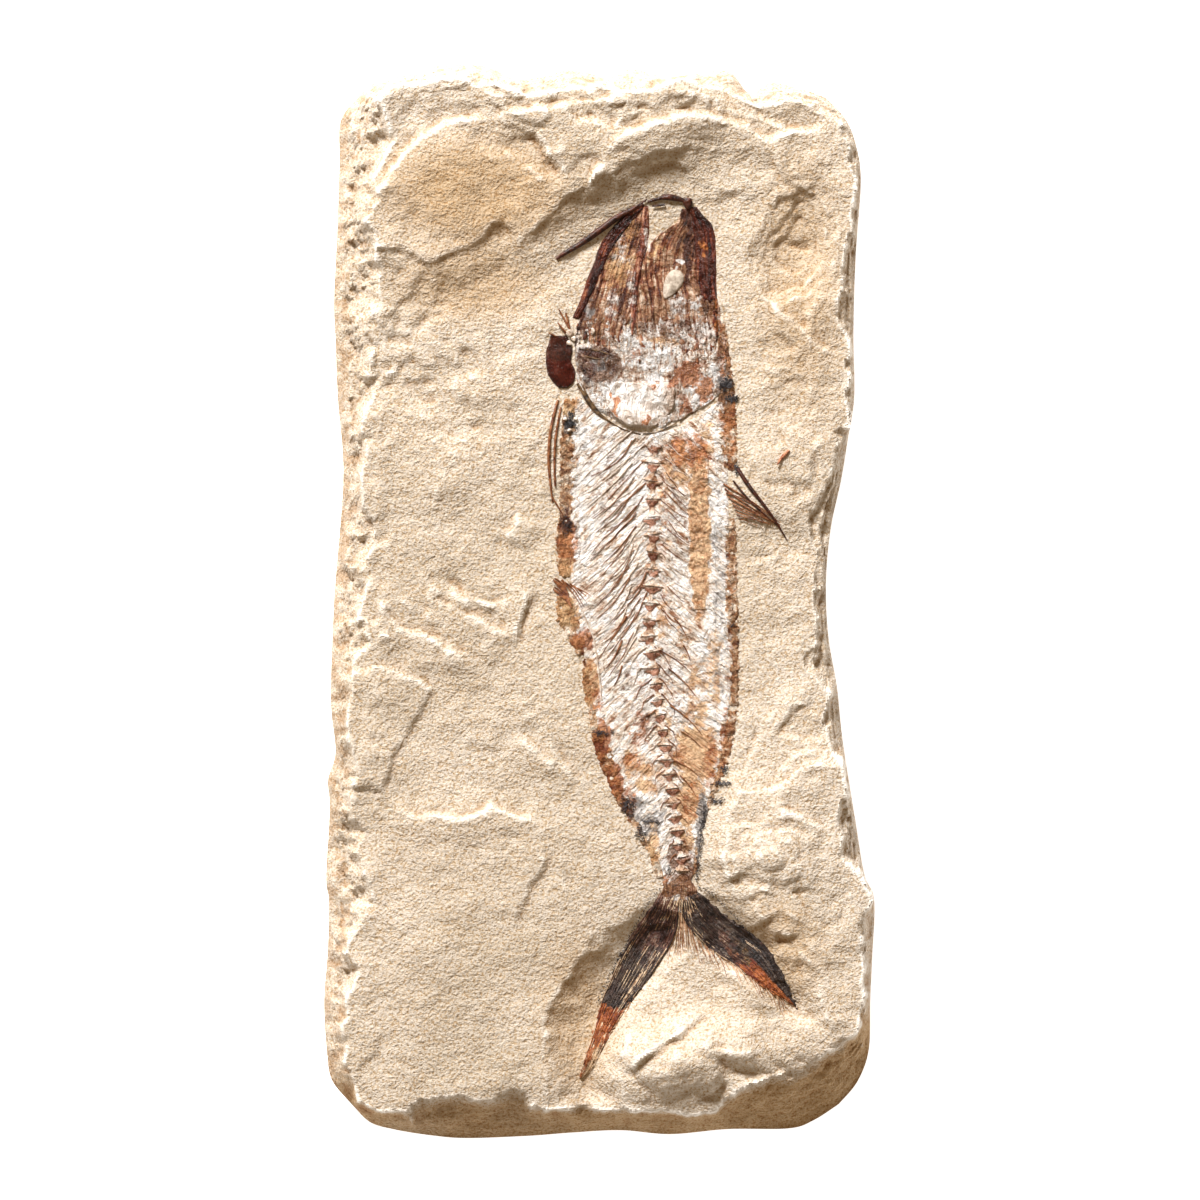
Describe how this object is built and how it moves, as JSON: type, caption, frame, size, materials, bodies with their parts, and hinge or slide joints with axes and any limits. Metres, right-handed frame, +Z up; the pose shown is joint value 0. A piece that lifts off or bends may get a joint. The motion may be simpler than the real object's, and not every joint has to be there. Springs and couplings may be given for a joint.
{
  "type": "fossil fish slab",
  "caption": "Flattened fossil fish, head to forked tail, lying in the split face of a rectangular limestone slab with chipped edges and a flat base.",
  "frame": {"origin": "middle of the flat sawn base", "axes": "+Z up out of the fossil's face, +Y towards the fish's head along the slab, +X towards the fish's back across the slab"},
  "size_m": [0.1537, 0.3, 0.0264],
  "materials": {
    "limestone": "split and chipped fine-grained limestone, matt",
    "dark_bone": "glossy dark red-brown mineralised bone",
    "brown_bone": "fibrous brown mineralised bone",
    "pale_bone": "pale calcite-covered bone, slightly glossy",
    "skin": "silvery white and brown mottled fossil skin",
    "amber_skin": "tan to orange iron-stained film",
    "rust_skin": "grainy rust-brown film",
    "black_fin": "brown-black fin rays with red-orange patches"
  },
  "bodies": {
    "root": {"stone_slab": "limestone", "jaw_barb": "dark_bone", "lip_bone": "dark_bone", "snout_tip": "dark_bone", "left_jaw": "dark_bone", "right_jaw": "dark_bone", "median_skull_bone": "brown_bone", "left_cheek": "brown_bone", "right_cheek": "brown_bone", "eye_socket_fill": "pale_bone", "head_rear_plate": "pale_bone", "dark_cheek_plate": "brown_bone", "gill_cover": "pale_bone", "shoulder_girdle": "brown_bone", "pectoral_plate": "dark_bone", "pectoral_spine_outer": "dark_bone", "pectoral_spine_inner": "dark_bone", "pelvic_fin": "brown_bone", "flank_skin": "skin", "gut_trace": "amber_skin", "belly_strip_front": "rust_skin", "belly_strip_middle": "amber_skin", "belly_strip_rear": "rust_skin", "back_strip_front": "rust_skin", "back_strip_middle": "rust_skin", "back_strip_rear": "rust_skin", "dorsal_spine": "dark_bone", "dorsal_fin_rays": "dark_bone", "tail_root_plate": "brown_bone", "tail_lobe_left": "black_fin", "tail_lobe_right": "black_fin", "tail_middle_rays": "brown_bone", "vertebra_01": "dark_bone", "vertebra_02": "dark_bone", "vertebra_03": "dark_bone", "vertebra_04": "dark_bone", "vertebra_05": "dark_bone", "vertebra_06": "dark_bone", "vertebra_07": "dark_bone", "vertebra_08": "dark_bone", "vertebra_09": "dark_bone", "vertebra_10": "dark_bone", "vertebra_11": "dark_bone", "vertebra_12": "dark_bone", "vertebra_13": "dark_bone", "vertebra_14": "dark_bone", "vertebra_15": "dark_bone", "vertebra_16": "dark_bone", "vertebra_17": "dark_bone", "vertebra_18": "dark_bone", "vertebra_19": "dark_bone", "vertebra_20": "dark_bone", "vertebra_21": "dark_bone", "vertebra_22": "dark_bone", "vertebra_23": "dark_bone", "vertebra_24": "dark_bone", "vertebra_25": "dark_bone", "vertebra_26": "dark_bone", "vertebra_27": "dark_bone"}
  },
  "joints": []
}
